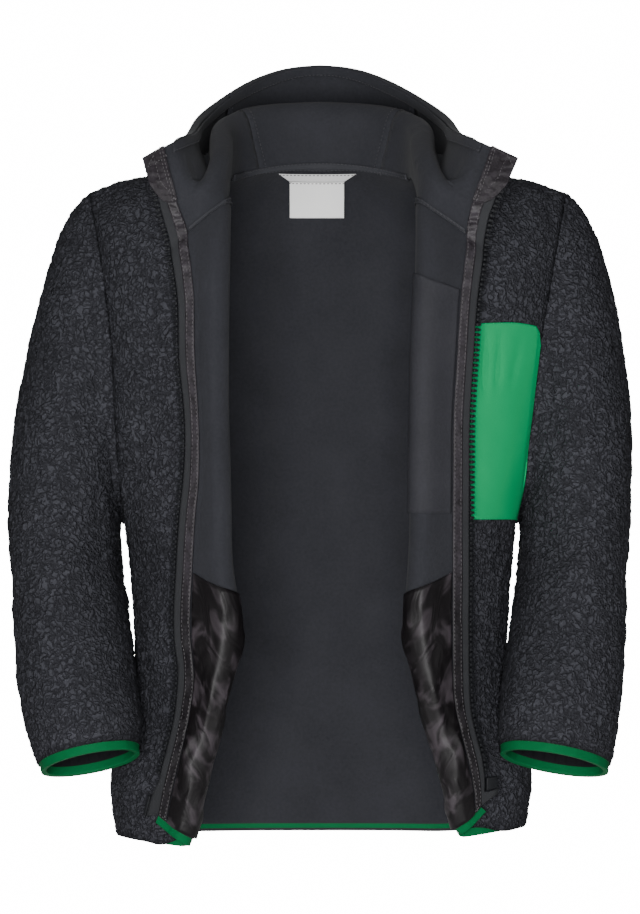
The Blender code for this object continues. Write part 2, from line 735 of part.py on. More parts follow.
# Pocket bags on the smooth face of the fronts, round the roll and on behind it. The
# thin cloth of the hand-pocket bags hangs in slanting folds.
BAG_TOP = 8.2              # row at the top of the hand-pocket bags
BAG_SINK = 0.018           # a bag's rows sink by this share from column to column
BAG_END = 10.4             # column where a bag ends behind the roll
CHEST_TOP = LOWER_ROWS + 7.45
BAG_FOLD = 2.2             # height of the folds
bag_columns = [1.05, 1.6, 2.2, 2.8, 3.4] + steps_between(4.0, BAG_END)
bag_rows = [0.03] + [0.5 + 0.55 * k for k in range(14)] + [BAG_TOP]


def bag_folds(row, column):
    """Slanting folds, flat near the bag's edges."""
    wave = math.sin(row * 2.1 + column * 1.25) + 0.6 * math.sin(row * 1.15 - column * 0.9 + 1)
    inside = ease(row / 1.2) * ease((BAG_TOP - row) / 1.5) * ease((column - 1.0) / 1.2)
    return BAG_FOLD * max(wave, 0.0) * inside * ease((BAG_END - 1.5 - column) / 2)


for side in SIDES:
    sunk = [[(r * (1 - BAG_SINK * (c - 1)), c) for c in bag_columns] for r in bag_rows]
    piece = patch("hand_pocket_bag_" + side, fronts[side], front_normals[side], sunk,
                  FACE - 1.8, FACE - 0.2, swell=bag_folds)
    finish(piece, TAFFETA, 0.3)
piece = patch("chest_pocket_bag", fronts["left"], front_normals["left"],
              crossing(steps_between(LOWER_ROWS + 0.1, CHEST_TOP),
                      steps_between(1.05, BAG_END)), FACE - 1.2, FACE - 0.2)
finish(piece, LINING, 0.9)

# The chest pocket lies on the pile of the wearer's left front, out to the armhole.
pocket_columns = [10.3, 11.0, 12.0, 13.0, 14.0, 14.45, 14.85]
pocket_top = [15.35, 15.38, 15.42, 15.46, 15.47, 15.38, 15.06]
pocket_places = crossing(steps_between(LOWER_ROWS - 0.06, 15.0), pocket_columns)
pocket_places.append(list(zip(pocket_top, pocket_columns)))
piece = patch("chest_pocket", fronts["left"], front_normals["left"], pocket_places,
              HALF_CLOTH + 0.3, HALF_CLOTH + 1.3)
finish(piece, GREEN, 0.8)

# Tapes over the neck seam, on the smooth face.
TAPE_HALF = 3.2


def neck_tape(name, below, seam, above, columns):
    """A tape over a seam, between a row of points on either side of it."""
    grid = [[p for p, n in row] for row in (below, seam, above)]
    normals = [[n for p, n in row] for row in (below, seam, above)]
    places = []
    for sign in (-1, 0, 1):
        row = []
        for c in columns:
            middle = between(grid, 1, c)
            reach = (between(grid, 1 + sign, c) - middle).length if sign else 1.0
            row.append((1 + sign * TAPE_HALF / reach, c))
        places.append(row)
    piece = patch(name, grid, normals, places, FACE - 1.2, FACE - 0.2)
    finish(piece, LINING, 0.8)


def paired(grid, normals, row):
    return list(zip(grid[row], normals[row]))


for side in SIDES:
    part = slice(0, NECK_COLUMN + 1)
    neck_tape("neck_tape_" + side, paired(fronts[side], front_normals[side], -2)[part],
              paired(fronts[side], front_normals[side], -1)[part],
              paired(hoods[side], hoods_normals[side], 1)[part], steps_between(1.05, 8.0))
first = CHEST_COLUMNS - NECK_COLUMNS
end = len(back[0]) - first
neck_tape("neck_tape_back", paired(back, back_normals, -2)[first:end],
          paired(back, back_normals, -1)[first:end],
          paired(hood, hood_normals, 1)[NECK_COLUMN:len(hood[0]) - NECK_COLUMN],
          steps_between(0.15, end - first - 1.15))

# The hem of the hood is turned in along the face opening.
HOOD_HEM = 9.0
hem_columns = steps_between(1.75, len(hood[0]) - 2.75)
top_down, top_down_normals = hood[::-1], hood_normals[::-1]
hem_places = []
for distance in (0.8, HOOD_HEM):
    row = []
    for c in hem_columns:
        line = [between(top_down, r, c) for r in range(6)]
        row.append((walk(line, distance), c))
    hem_places.append(row)
piece = patch("hood_hem", top_down, top_down_normals, hem_places, FACE - 1.7, FACE - 0.8)
finish(piece, LINING, 0.8)

# Bindings over the raw edges of the hem and the cuffs. On the lapels the binding runs
# square to the slanting hem and a little past the cloth's edge.
BINDING_HALF = 2.1
BINDING_GAP = 0.75
PAST_EDGE = 0.8


def square_on(grid, normals):
    """The first row of a front's grid, and that row moved square to itself past the
    hem. The lapel moves as one with its roll."""
    row = grid[0]

    def square(a, b, c):
        way = (row[b] - row[a]).cross(normals[0][c]).normalized()
        return -way if way.dot(grid[1][c] - row[c]) > 0 else way

    lapel, chest = square(1, 3, 2), square(9, 11, 10)
    moved = []
    for c, p in enumerate(row):
        way = mix(lapel, chest, ease((c - 5.5) / 3)) if c < 9 else \
            square(c - 1, min(c + 1, len(row) - 1), c)
        moved.append(p + way.normalized() * BINDING_HEIGHT)
    return [moved, row]


back_line = run_on(back, BINDING_HEIGHT)
back_line[0] = [mix(p, q, BACK_LOWER / BINDING_HEIGHT * (1 - ease((abs(q.x) - 100) / 55)))
                for p, q in zip(*back_line)]
lines = [("back", back_line, back_normals[0])]
for side in SIDES:
    line = square_on(fronts[side], front_normals[side])
    line = [[row[0] + (row[0] - row[1]).normalized() * PAST_EDGE] + row for row in line]
    lines.append((side, line, front_normals[side][0][:1] + front_normals[side][0]))
for name, line, normals in lines:
    piece = wall("hem_binding_" + name, line, [normals] * 2, -BINDING_HALF, BINDING_HALF,
                 seams=("start", "end", "top"), gap=BINDING_GAP)
    finish(piece, DARK_GREEN, 0.7)
for side in SIDES:
    normals = normals_of(sleeves[side])
    piece = wall("cuff_binding_" + side, run_on(sleeves[side][::-1], BINDING_HEIGHT),
                 [normals[-1]] * 2, -BINDING_HALF, BINDING_HALF, seams=("top",), closed=True,
                 gap=BINDING_GAP)
    finish(piece, DARK_GREEN, 0.7)

# The label hangs from a short tab under the back neck tape.
LABEL_LEFT, LABEL_RIGHT = -24.5, 19.5


def on_back(x, z, away):
    """A point in front of the smooth face of the back."""
    return Vector((x, body_y("right", "back", abs(x), z) - HALF_CLOTH - away, z))


def hanging(name, edges_at, low, high, colour):
    grid = [[on_back(mix(left, right, k / 4), z, 5.0) for k in range(5)]
            for left, right, z in edges_at]
    piece = wall(name, grid, [[Vector((0, -1, 0))] * 5 for _ in grid], low, high)
    finish(piece, colour, 0.8)


hanging("label_tab", [(LABEL_LEFT, LABEL_RIGHT, -8.2), (-33.5, 29.5, -2.3)], 0.0, 0.6, GREY)
hanging("label", [(LABEL_LEFT, LABEL_RIGHT, z) for z in (-37.0, -23.0, -8.6)], 0.0, 0.8, LABEL)
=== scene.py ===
"""Hooded pile-fleece jacket, worn open with both fronts folded back: its looks.

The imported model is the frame. Each cloth panel is refined from its own solid, and
the sewing, the zip and the pile are added to it. Lengths are in metres unless a
name ends in _MM. X runs to the wearer's left, Y to the back, Z up.
"""
import math

import bmesh
import bpy
from mathutils import Matrix, Vector, noise
from mathutils.bvhtree import BVHTree
from mathutils.kdtree import KDTree


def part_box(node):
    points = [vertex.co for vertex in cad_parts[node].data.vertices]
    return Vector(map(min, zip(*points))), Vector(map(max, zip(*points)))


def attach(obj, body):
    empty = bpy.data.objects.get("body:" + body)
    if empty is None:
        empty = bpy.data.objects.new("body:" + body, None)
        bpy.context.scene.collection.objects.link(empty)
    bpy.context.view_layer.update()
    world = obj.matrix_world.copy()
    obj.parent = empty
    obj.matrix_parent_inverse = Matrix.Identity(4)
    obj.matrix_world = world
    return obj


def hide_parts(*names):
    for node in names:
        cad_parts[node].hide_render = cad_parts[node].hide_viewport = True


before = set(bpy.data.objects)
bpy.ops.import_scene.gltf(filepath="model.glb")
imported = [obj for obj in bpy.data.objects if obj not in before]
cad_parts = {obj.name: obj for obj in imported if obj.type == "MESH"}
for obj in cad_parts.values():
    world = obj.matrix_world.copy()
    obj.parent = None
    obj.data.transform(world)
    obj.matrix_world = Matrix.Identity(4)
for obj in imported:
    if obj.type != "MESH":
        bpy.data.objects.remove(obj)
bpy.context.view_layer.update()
bpy.ops.object.select_all(action="DESELECT")
noise.seed_set(11)         # else the curls would drift another way at each run
MM = 0.001

# ------------------------------------------------------------ studio and camera
# A pale room with a wide soft lamp by the camera, and weaker ones above, at the side
# and behind. The camera stands level with the middle of the jacket, far off.
PHOTO_SPAN = 0.512         # what the picture's width takes in at the jacket
CAMERA_DISTANCE = 5.0
EYE_HEIGHT = -0.231

bpy.ops.object.camera_add(location=(0, -CAMERA_DISTANCE, EYE_HEIGHT),
                          rotation=(math.pi / 2, 0, 0))
camera = bpy.context.object
camera.data.sensor_fit = "HORIZONTAL"
camera.data.sensor_width = 36
camera.data.lens = 36 * CAMERA_DISTANCE / PHOTO_SPAN
bpy.context.scene.camera = camera

for name, place, size, power in (("lamp_front", (-0.35, -4.1, -0.55), 1.8, 285),
                                 ("lamp_side", (1.8, -2.2, 0.2), 1.4, 8),
                                 ("lamp_above", (-0.3, -0.6, 2.2), 1.6, 12),
                                 ("lamp_back", (0.0, 2.8, 0.3), 1.8, 60)):
    bpy.ops.object.light_add(type="AREA", location=place)
    lamp = bpy.context.object
    lamp.name = name
    lamp.data.size = size
    lamp.data.energy = power
    aim = Vector((0, 0, EYE_HEIGHT)) - lamp.location
    lamp.rotation_euler = aim.to_track_quat("-Z", "Y").to_euler()

world = bpy.data.worlds.new("pale_room")
bpy.context.scene.world = world
world.use_nodes = True
backdrop = world.node_tree.nodes["Background"]
room = world.node_tree.nodes.new("ShaderNodeBackground")
room.inputs["Strength"].default_value = 0.17
backdrop.inputs["Color"].default_value = (1, 1, 1, 1)
backdrop.inputs["Strength"].default_value = 16
seen = world.node_tree.nodes.new("ShaderNodeLightPath")
either = world.node_tree.nodes.new("ShaderNodeMixShader")
world.node_tree.links.new(seen.outputs["Is Camera Ray"], either.inputs[0])
world.node_tree.links.new(room.outputs[0], either.inputs[1])
world.node_tree.links.new(backdrop.outputs[0], either.inputs[2])
world.node_tree.links.new(either.outputs[0], world.node_tree.nodes["World Output"].inputs[0])

bpy.ops.mesh.primitive_plane_add(size=12, location=(0, 0, -1.12))
floor = bpy.context.object
floor.name = "floor"
pale = bpy.data.materials.new("pale_floor")
pale.use_nodes = True
pale.node_tree.nodes["Principled BSDF"].inputs["Base Color"].default_value = (0.9, 0.9, 0.9, 1)
pale.node_tree.nodes["Principled BSDF"].inputs["Roughness"].default_value = 0.9
floor.data.materials.append(pale)


# ---------------------------------------------------------------- the pile cloth
# The jacket is cut from bonded fleece: a curly pile outside, a smooth knit face
# inside. Each panel is one wall of it. The pile lies in small curls that part where
# the cloth bends, and it is pressed down where a seam or a pocket holds it.
WALL_MM = 6
CURL = 4.8 * MM
PILE_SEAM = 4.0 * MM       # the pile stands up over this distance from a seam
SEAM_SHADE = 6.0 * MM      # and the shade painted at a seam fades out over this one
FOLD_SEAM = 25.0 * MM      # soft folds die out over this distance from a seam
PRESS_REACH = 4.0 * MM     # a pocket holds down the pile this near to it
PRESSED_FLAT = 0.1 * MM


def linked(material, kind, **values):
    """A new node in a material or group, with its settings."""
    node = material.node_tree.nodes.new(kind)
    for key, value in values.items():
        setattr(node, key, value)
    return node


def plain_material(name, colour, roughness, sheen=0.0, shine=0.2):
    """A material's shader with its constant values."""
    material = bpy.data.materials.new(name)
    material.use_nodes = True
    shader = material.node_tree.nodes["Principled BSDF"]
    shader.inputs["Base Color"].default_value = (*colour, 1)
    shader.inputs["Roughness"].default_value = roughness
    shader.inputs["Sheen Weight"].default_value = sheen
    shader.inputs["Sheen Roughness"].default_value = 0.6
    shader.inputs["Specular IOR Level"].default_value = shine
    return material


def group_of(name, inputs, outputs):
    """An empty node group with named values in, and named colours or vectors out."""
    group = bpy.data.node_groups.new(name, "ShaderNodeTree")
    for label, kind, value in inputs:
        socket = group.interface.new_socket(name=label, in_out="INPUT", socket_type=kind)
        socket.default_value = value
    for label, kind in outputs:
        group.interface.new_socket(name=label, in_out="OUTPUT", socket_type=kind)
    return group, group.nodes.new("NodeGroupInput"), group.nodes.new("NodeGroupOutput")


# Yarn and knit: a fine uneven grain that tints the colour and roughens the normal.
grain, grain_in, grain_out = group_of(
    "cloth_grain",
    [("Colour", "NodeSocketColor", (0.04, 0.04, 0.04, 1)),
     ("Dark Colour", "NodeSocketColor", (0.03, 0.03, 0.03, 1)),
     ("Thread", "NodeSocketFloat", 900.0), ("Blotch", "NodeSocketFloat", 30.0),
     ("Depth", "NodeSocketFloat", 0.0003), ("Spread", "NodeSocketFloat", 0.5)],
    [("Colour", "NodeSocketColor"), ("Normal", "NodeSocketVector")])
place = grain.nodes.new("ShaderNodeTexCoord")
thread = grain.nodes.new("ShaderNodeTexNoise")
thread.inputs["Detail"].default_value = 3
blotch = grain.nodes.new("ShaderNodeTexNoise")
blotch.inputs["Detail"].default_value = 4
shade = grain.nodes.new("ShaderNodeMath")
shade.operation = "MULTIPLY_ADD"
shade.inputs[1].default_value = 0.5
half_blotch = grain.nodes.new("ShaderNodeMath")
half_blotch.operation = "MULTIPLY"
half_blotch.inputs[1].default_value = 0.5
low_end = grain.nodes.new("ShaderNodeMath")
low_end.operation = "SUBTRACT"
low_end.inputs[0].default_value = 0.5
high_end = grain.nodes.new("ShaderNodeMath")
high_end.operation = "ADD"
high_end.inputs[0].default_value = 0.5
spread_out = grain.nodes.new("ShaderNodeMapRange")
tint = grain.nodes.new("ShaderNodeMix")
tint.data_type = "RGBA"
bump = grain.nodes.new("ShaderNodeBump")
bump.inputs["Strength"].default_value = 0.7
for source, target in (
        (place.outputs["Object"], thread.inputs["Vector"]),
        (place.outputs["Object"], blotch.inputs["Vector"]),
        (grain_in.outputs["Thread"], thread.inputs["Scale"]),
        (grain_in.outputs["Blotch"], blotch.inputs["Scale"]),
        (blotch.outputs["Fac"], half_blotch.inputs[0]),
        (thread.outputs["Fac"], shade.inputs[0]),
        (half_blotch.outputs[0], shade.inputs[2]),
        (grain_in.outputs["Spread"], low_end.inputs[1]),
        (grain_in.outputs["Spread"], high_end.inputs[1]),
        (shade.outputs[0], spread_out.inputs["Value"]),
        (low_end.outputs[0], spread_out.inputs["From Min"]),
        (high_end.outputs[0], spread_out.inputs["From Max"]),
        (spread_out.outputs["Result"], tint.inputs["Factor"]),
        (grain_in.outputs["Dark Colour"], tint.inputs["A"]),
        (grain_in.outputs["Colour"], tint.inputs["B"]),
        (grain_in.outputs["Depth"], bump.inputs["Distance"]),
        (thread.outputs["Fac"], bump.inputs["Height"]),
        (tint.outputs["Result"], grain_out.inputs["Colour"]),
        (bump.outputs["Normal"], grain_out.inputs["Normal"])):
    grain.links.new(source, target)


def woven(name, colour, dark, roughness, thread=900.0, blotch=30.0, depth=0.0003, sheen=0.0,
          shine=0.2, spread=0.5):
    """A material with the cloth grain in its colour and normal. A small spread gives
    strong contrasts between the two colours."""
    material = plain_material(name, colour, roughness, sheen, shine)
    tree = material.node_tree
    node = tree.nodes.new("ShaderNodeGroup")
    node.node_tree = grain
    node.inputs["Colour"].default_value = (*colour, 1)
    node.inputs["Dark Colour"].default_value = (*dark, 1)
    node.inputs["Thread"].default_value = thread
    node.inputs["Blotch"].default_value = blotch
    node.inputs["Depth"].default_value = depth
    node.inputs["Spread"].default_value = spread
    shader = tree.nodes["Principled BSDF"]
    tree.links.new(node.outputs["Colour"], shader.inputs["Base Color"])
    tree.links.new(node.outputs["Normal"], shader.inputs["Normal"])
    return material


# The pile's curls: small soft heaps that part in thin wandering creases, painted dark
# as the shade in them, with finer fibres over them. Whole patches lie flatter, and shade
# is painted darker at the seams.
PILE = (0.0440, 0.0450, 0.0535)
PILE_SHADE_AND_TONE = (0.0070, 0.0070, 0.0087)
pile = plain_material("curly_pile", PILE, 0.85, shine=0.1)
tree = pile.node_tree
place = linked(pile, "ShaderNodeTexCoord")
apart_sides = []
for scale, width in ((140, 0.085), (225, 0.095)):
    wander = linked(pile, "ShaderNodeTexNoise")
    wander.inputs["Scale"].default_value = scale
    wander.inputs["Detail"].default_value = 1.5
    middle = linked(pile, "ShaderNodeMath", operation="SUBTRACT")
    middle.inputs[1].default_value = 0.5
    away = linked(pile, "ShaderNodeMath", operation="ABSOLUTE")
    parting = linked(pile, "ShaderNodeMapRange", interpolation_type="SMOOTHSTEP")
    parting.inputs["From Max"].default_value = width
    parting.inputs["To Min"].default_value = 0.42
    tree.links.new(place.outputs["Object"], wander.inputs["Vector"])
    tree.links.new(wander.outputs["Fac"], middle.inputs[0])
    tree.links.new(middle.outputs[0], away.inputs[0])
    tree.links.new(away.outputs[0], parting.inputs["Value"])
    apart_sides.append(parting)
fibre = linked(pile, "ShaderNodeTexNoise")
fibre.inputs["Scale"].default_value = 600
fibre.inputs["Detail"].default_value = 3
frayed = linked(pile, "ShaderNodeMapRange")
frayed.inputs["From Min"].default_value = 0.3
frayed.inputs["From Max"].default_value = 0.7
frayed.inputs["To Min"].default_value = 0.7
patches = linked(pile, "ShaderNodeTexNoise")
patches.inputs["Scale"].default_value = 24
patches.inputs["Detail"].default_value = 2
worn = linked(pile, "ShaderNodeMapRange")
worn.inputs["From Min"].default_value = 0.3
worn.inputs["From Max"].default_value = 0.7
worn.inputs["To Min"].default_value = 0.78
edge_share = linked(pile, "ShaderNodeAttribute", attribute_name="from_edge")
# Near a seam the colour is painted darker, as the shade that falls there.
painted_seam_shade = linked(pile, "ShaderNodeMapRange", interpolation_type="SMOOTHSTEP")
painted_seam_shade.inputs["To Min"].default_value = 0.4
closed, lit, soft, whole = (linked(pile, "ShaderNodeMath", operation="MULTIPLY")
                            for _ in range(4))
# The colour runs to the dark one as painted shade in the creases and at the seams, and as tone in
# the fibres and patches.
deep = linked(pile, "ShaderNodeMix", data_type="RGBA")
deep.inputs["A"].default_value = (*PILE_SHADE_AND_TONE, 1)
deep.inputs["B"].default_value = (*PILE, 1)
heap = linked(pile, "ShaderNodeMath", operation="MULTIPLY_ADD")
heap.inputs[1].default_value = 0.4
relief = linked(pile, "ShaderNodeBump")
relief.inputs["Strength"].default_value = 1.0
relief.inputs["Distance"].default_value = 0.0016
for source, target in (
        (place.outputs["Object"], fibre.inputs["Vector"]),
        (place.outputs["Object"], patches.inputs["Vector"]),
        (apart_sides[0].outputs["Result"], closed.inputs[0]),
        (apart_sides[1].outputs["Result"], closed.inputs[1]),
        (fibre.outputs["Fac"], frayed.inputs["Value"]),
        (patches.outputs["Fac"], worn.inputs["Value"]),
        (edge_share.outputs["Fac"], painted_seam_shade.inputs["Value"]),
        (closed.outputs[0], lit.inputs[0]),
        (frayed.outputs["Result"], lit.inputs[1]),
        (lit.outputs[0], soft.inputs[0]),
        (worn.outputs["Result"], soft.inputs[1]),
        (soft.outputs[0], whole.inputs[0]),
        (painted_seam_shade.outputs["Result"], whole.inputs[1]),
        (whole.outputs[0], deep.inputs["Factor"]),
        (deep.outputs["Result"], tree.nodes["Principled BSDF"].inputs["Base Color"]),
        (fibre.outputs["Fac"], heap.inputs[0]),
        (closed.outputs[0], heap.inputs[2]),
        (heap.outputs[0], relief.inputs["Height"]),
        (relief.outputs["Normal"], tree.nodes["Principled BSDF"].inputs["Normal"])):
    tree.links.new(source, target)

smooth_face = woven("smooth_fleece_face", (0.0245, 0.0252, 0.0305), (0.0115, 0.0120, 0.0150),
                    0.85, thread=420, blotch=25, depth=0.0004, sheen=0.03, shine=0.15, spread=0.3)
# The sleeves' inner face is the same knit, painted near black as the shade inside the sleeves.
shaded_sleeve_face = woven("sleeve_face_painted_shade", (0.0070, 0.0070, 0.0085), (0.0040, 0.0040, 0.0050),
                  0.85, thread=700, blotch=25, depth=0.0002, shine=0.1)


SHARP_TURN = 62            # degrees between two faces that always make a crease
RIM_TURN = 25              # degrees that make one beside a rim
SKIN_MM = 0.2              # how far under a face its wall is measured from


def squared_copy(node, name, facing, wall_mm):
    """A node's solid with joined points and square faces, which keeps its rims sharp.
    Its faces are marked 0 on the side that faces a direction, 1 on the other side and
    2 on the rims. A rim's faces have no wall's thickness behind them."""
    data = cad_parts[node].data.copy()
    data.materials.clear()
    mesh = bmesh.new()
    mesh.from_mesh(data)
    bmesh.ops.remove_doubles(mesh, verts=mesh.verts, dist=1e-5)
    bmesh.ops.join_triangles(mesh, faces=mesh.faces, angle_face_threshold=math.radians(50),
                             angle_shape_threshold=math.radians(60))
    mesh.normal_update()
    solid = BVHTree.FromBMesh(mesh)
    broad = set()
    for face in mesh.faces:
        start = face.calc_center_median() - face.normal * SKIN_MM * MM
        behind = solid.ray_cast(start, -face.normal)
        if behind[3] is not None and behind[1].dot(face.normal) < -0.8 \
                and 0.35 * wall_mm < behind[3] / MM + SKIN_MM < 1.7 * wall_mm:
            broad.add(face)
    crease = mesh.edges.layers.float.new("crease_edge")
    for edge in mesh.edges:
        turn = math.degrees(edge.calc_face_angle(0))
        if turn > SHARP_TURN or turn > RIM_TURN and not broad.issuperset(edge.link_faces):
            edge[crease] = 1.0
    sides, left = [], set(mesh.faces)
    while left:
        side = walk = [left.pop()]
        for face in walk:
            for edge in face.edges:
                if edge[crease] < 0.5:
                    beyond = left.intersection(edge.link_faces)
                    left -= beyond
                    side.extend(beyond)
        sides.append(side)
    sides.sort(key=lambda side: -sum(face.calc_area() for face in side))
    sides[:2] = sorted(sides[:2], key=lambda side: -sum(
        face.normal.dot(Vector(facing)) * face.calc_area() for face in side))
    for mark, side in enumerate(sides):
        for face in side:
            face.material_index = min(mark, 2)
            face.smooth = True
    mesh.to_mesh(data)
    mesh.free()
    piece = bpy.data.objects.new(name, data)
    bpy.context.scene.collection.objects.link(piece)
    return piece


def refined(piece, level):
    """Subdivide a piece into a smooth surface that still passes through its corners."""
    modifier = piece.modifiers.new("smooth", "SUBSURF")
    modifier.levels = modifier.render_levels = level
    corners = [vertex.co.copy() for vertex in piece.data.vertices]
    for _ in range(3):
        bpy.context.view_layer.update()
        reached = piece.evaluated_get(bpy.context.evaluated_depsgraph_get()).data.vertices
        short = [corner - reached[i].co for i, corner in enumerate(corners)]
        for vertex, miss in zip(piece.data.vertices, short):
            vertex.co += miss
        piece.data.update()
    bpy.context.view_layer.objects.active = piece
    bpy.ops.object.modifier_apply(modifier=modifier.name)


def cut_finer(piece, cuts, mark=0):
    """Cut the faces with a mark into smaller ones."""
    bpy.ops.object.select_all(action="DESELECT")
    piece.select_set(True)
    bpy.context.view_layer.objects.active = piece
    for polygon in piece.data.polygons:
        polygon.select = polygon.material_index == mark
    bpy.ops.object.mode_set(mode="EDIT")
    bpy.context.tool_settings.mesh_select_mode = (False, False, True)
    bpy.ops.mesh.subdivide(number_cuts=cuts)
    bpy.ops.object.mode_set(mode="OBJECT")
    piece.select_set(False)


def raise_points(piece, height_at, reach, pressed_by=(), mark=0):
    """Move the marked points along their normals, less near the border and under
    the nodes that press on the cloth. Each point keeps its share of the way in."""
    mesh = bmesh.new()
    mesh.from_mesh(piece.data)
    layers = mesh.verts.layers.float
    from_edge = layers.get("from_edge") or layers.new("from_edge")
    mesh.normal_update()
    inside, border = [], []
    for vertex in mesh.verts:
        marks = {face.material_index for face in vertex.link_faces}
        if marks == {mark}:
            inside.append(vertex)
        elif mark in marks:
            border.append(vertex)
    near = KDTree(len(border))
    for i, vertex in enumerate(border):
        near.insert(vertex.co, i)
    near.balance()
    covers = [BVHTree.FromPolygons([v.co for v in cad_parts[n].data.vertices],
                                   [p.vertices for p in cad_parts[n].data.polygons])
              for n in pressed_by]
    moves = []
    for vertex in inside:
        away = near.find(vertex.co)[2]
        # Its share of the way in from the seam, which the pile's painted seam shade reads.
        vertex[from_edge] = min(away / SEAM_SHADE, 1.0)
        share = min(away / reach, 1.0)
        height = height_at(vertex.co) * share * (2 - share)
        for cover in covers:
            hit = cover.find_nearest(vertex.co, PRESS_REACH)
            if hit[0] is not None:
                height = min(height, PRESSED_FLAT)
        moves.append((vertex, vertex.normal * height))
    for vertex, move in moves:
        vertex.co += move
    mesh.to_mesh(piece.data)
    mesh.free()


def fold_height(folds, point):
    """Height of the listed soft folds at a point. Each runs from a start to an end,
    in millimetres, with its height and half width; a minus height is a trough."""
    total = 0.0
    for start, end, height, width in folds:
        a, b = Vector(start) * MM, Vector(end) * MM
        line = b - a
        along = max(0.0, min(1.0, (point - a).dot(line) / line.length_squared))
        away = (point - a - line * along).length / (width * MM)
        if away < 3:
            fade = min(1.0, 4 * min(along, 1 - along) + 0.25)
            total += height * MM * fade * math.exp(-away * away)
    return total


CURL_DRIFT = 11.0 * MM     # the curls' rows wander over this distance
TUFT = 13.0 * MM           # and heap up in tufts of this size


def curl_height(point):
    """Height of the curls of the pile at a point."""
    drift = noise.noise_vector(point / CURL_DRIFT) * 0.5
    first, second = noise.voronoi(point / CURL + drift)[0][:2]
    curl = min(1.0, (second - first) * 2.2)
    tuft = noise.noise(point / TUFT)
    return (1.3 * curl + 0.9 * tuft - 0.3) * MM


def mirrored_folds(folds):
    return [((-a[0], a[1], a[2]), (-b[0], b[1], b[2]), h, w) for a, b, h, w in folds]


# Soft folds: where the arm bends, under the arm, and where the hem draws in.
SLEEVE_FOLDS = [
    ((-245, -30, -262), (-205, -62, -292), -2.2, 9),
    ((-246, -20, -285), (-208, -66, -318), 1.8, 9),
    ((-246, -30, -322), (-212, -72, -342), -2.0, 8),
    ((-243, -60, -362), (-205, -84, -372), -1.6, 8),
    ((-168, -45, -330), (-206, -70, -322), -2.2, 9),
    ((-166, -62, -372), (-200, -85, -356), -1.8, 8),
    ((-163, -20, -300), (-190, 45, -300), -2.2, 10),
    ((-230, 30, -300), (-190, 45, -330), -2.0, 10),
    ((-222, 30, -170), (-190, 62, -240), -2.4, 14),
    ((-176, -55, -150), (-186, -60, -240), -2.0, 14),
    ((-158, -90, -428), (-196, -112, -440), -1.4, 8),
]
FRONT_FOLDS = [
    ((-152, -45, -300), (-128, -80, -345), -2.0, 12),
    ((-150, -50, -380), (-138, -72, -470), -2.2, 16),
    ((-130, -80, -180), (-150, -60, -262), -1.8, 14),
    ((-158, -30, -470), (-150, -60, -515), 1.8, 12),
]
BACK_FOLDS = [
    ((-150, 60, -290), (-90, 88, -330), -2.6, 16),
    ((150, 60, -290), (90, 88, -330), -2.6, 16),
    ((-120, 75, -120), (-145, 62, -235), -2.6, 14),
    ((120, 75, -120), (145, 62, -235), -2.6, 14),
    ((-60, 92, -380), (60, 92, -372), -2.2, 16),
    ((-90, 90, -440), (20, 92, -452), 2.0, 16),
    ((-40, 93, -480), (-60, 92, -530), 1.8, 12),
    ((60, 93, -470), (50, 92, -530), 1.8, 12),
]


HEM_TOP = -0.500           # the hem's rims lie below this height


def hang_over(panel, drop_mm):
    """Let the pile hang down over the hem's binding outside, by a drop at each place."""
    outside, rim = set(), set()
    for face in panel.data.polygons:
        if face.material_index == 0:
            outside.update(face.vertices)
        elif face.normal.z < -0.5:
            rim.update(face.vertices)
    for index in outside & rim:
        point = panel.data.vertices[index].co
        if point.z < HEM_TOP:
            point.z -= drop_mm(point) * MM
    panel.data.update()


def eased(value, start, width):
    t = min(max((value / MM - start) / width, 0.0), 1.0)
    return t * t * (3 - 2 * t)


# How far the pile hangs over the binding, in millimetres: all of it behind and on the
# wearer's right, but on the left front it bares the binding beside the lapel.
DROP_MM = 7.2
HANGING = {"back_panel": lambda p: DROP_MM,
           "front_right": lambda p: DROP_MM * eased(-p.x, 112, 8),
           "front_left": lambda p: DROP_MM * eased(p.x, 122, 26)}
# A row for each panel: its node, the way its pile side faces, levels, cuts, folds, what
# presses on it, and the size of the cloth it is cut from with the cut's own area.
PANELS = [
    ("back_panel", (0, 1, 0), 2, 1, BACK_FOLDS, (), (0.44, 0.54), 0.215),
    ("front_right", (-1, -1, 0), 2, 2, FRONT_FOLDS, (), (0.26, 0.56), 0.089),
    ("front_left", (1, -1, 0), 2, 2, mirrored_folds(FRONT_FOLDS), ("chest_pocket",),
     (0.26, 0.56), 0.091),
    ("sleeve_right", (-1, 0, 0), 1, 4, SLEEVE_FOLDS, (), (0.43, 0.47), 0.110),
    ("sleeve_left", (1, 0, 0), 1, 4, mirrored_folds(SLEEVE_FOLDS), (), (0.43, 0.47), 0.110),
    ("hood_side_right", (-1, 0.5, -0.5), 2, 1, (), (), (0.21, 0.23), 0.0245),
    ("hood_side_left", (1, 0.5, -0.5), 2, 1, (), (), (0.21, 0.23), 0.0245),
    ("hood_centre", (0, 1, -1), 2, 2, (), (), (0.21, 0.43), 0.0675),
]
for node, outward, level, cuts, folds, pressers, flat, area in PANELS:
    panel = squared_copy(node, "fleece_" + node, outward, WALL_MM)
    # A sleeve's inner face is the knit painted dark as shade.
    inside = shaded_sleeve_face if "sleeve" in node else smooth_face
    for cloth in (pile, inside, inside):
        panel.data.materials.append(cloth)
    if node in HANGING:
        hang_over(panel, HANGING[node])
    refined(panel, level)
    if folds:
        raise_points(panel, lambda p: fold_height(folds, p), FOLD_SEAM, pressers)
    cut_finer(panel, cuts)
    raise_points(panel, curl_height, PILE_SEAM, pressers)
    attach(panel, "root")
    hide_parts(node)


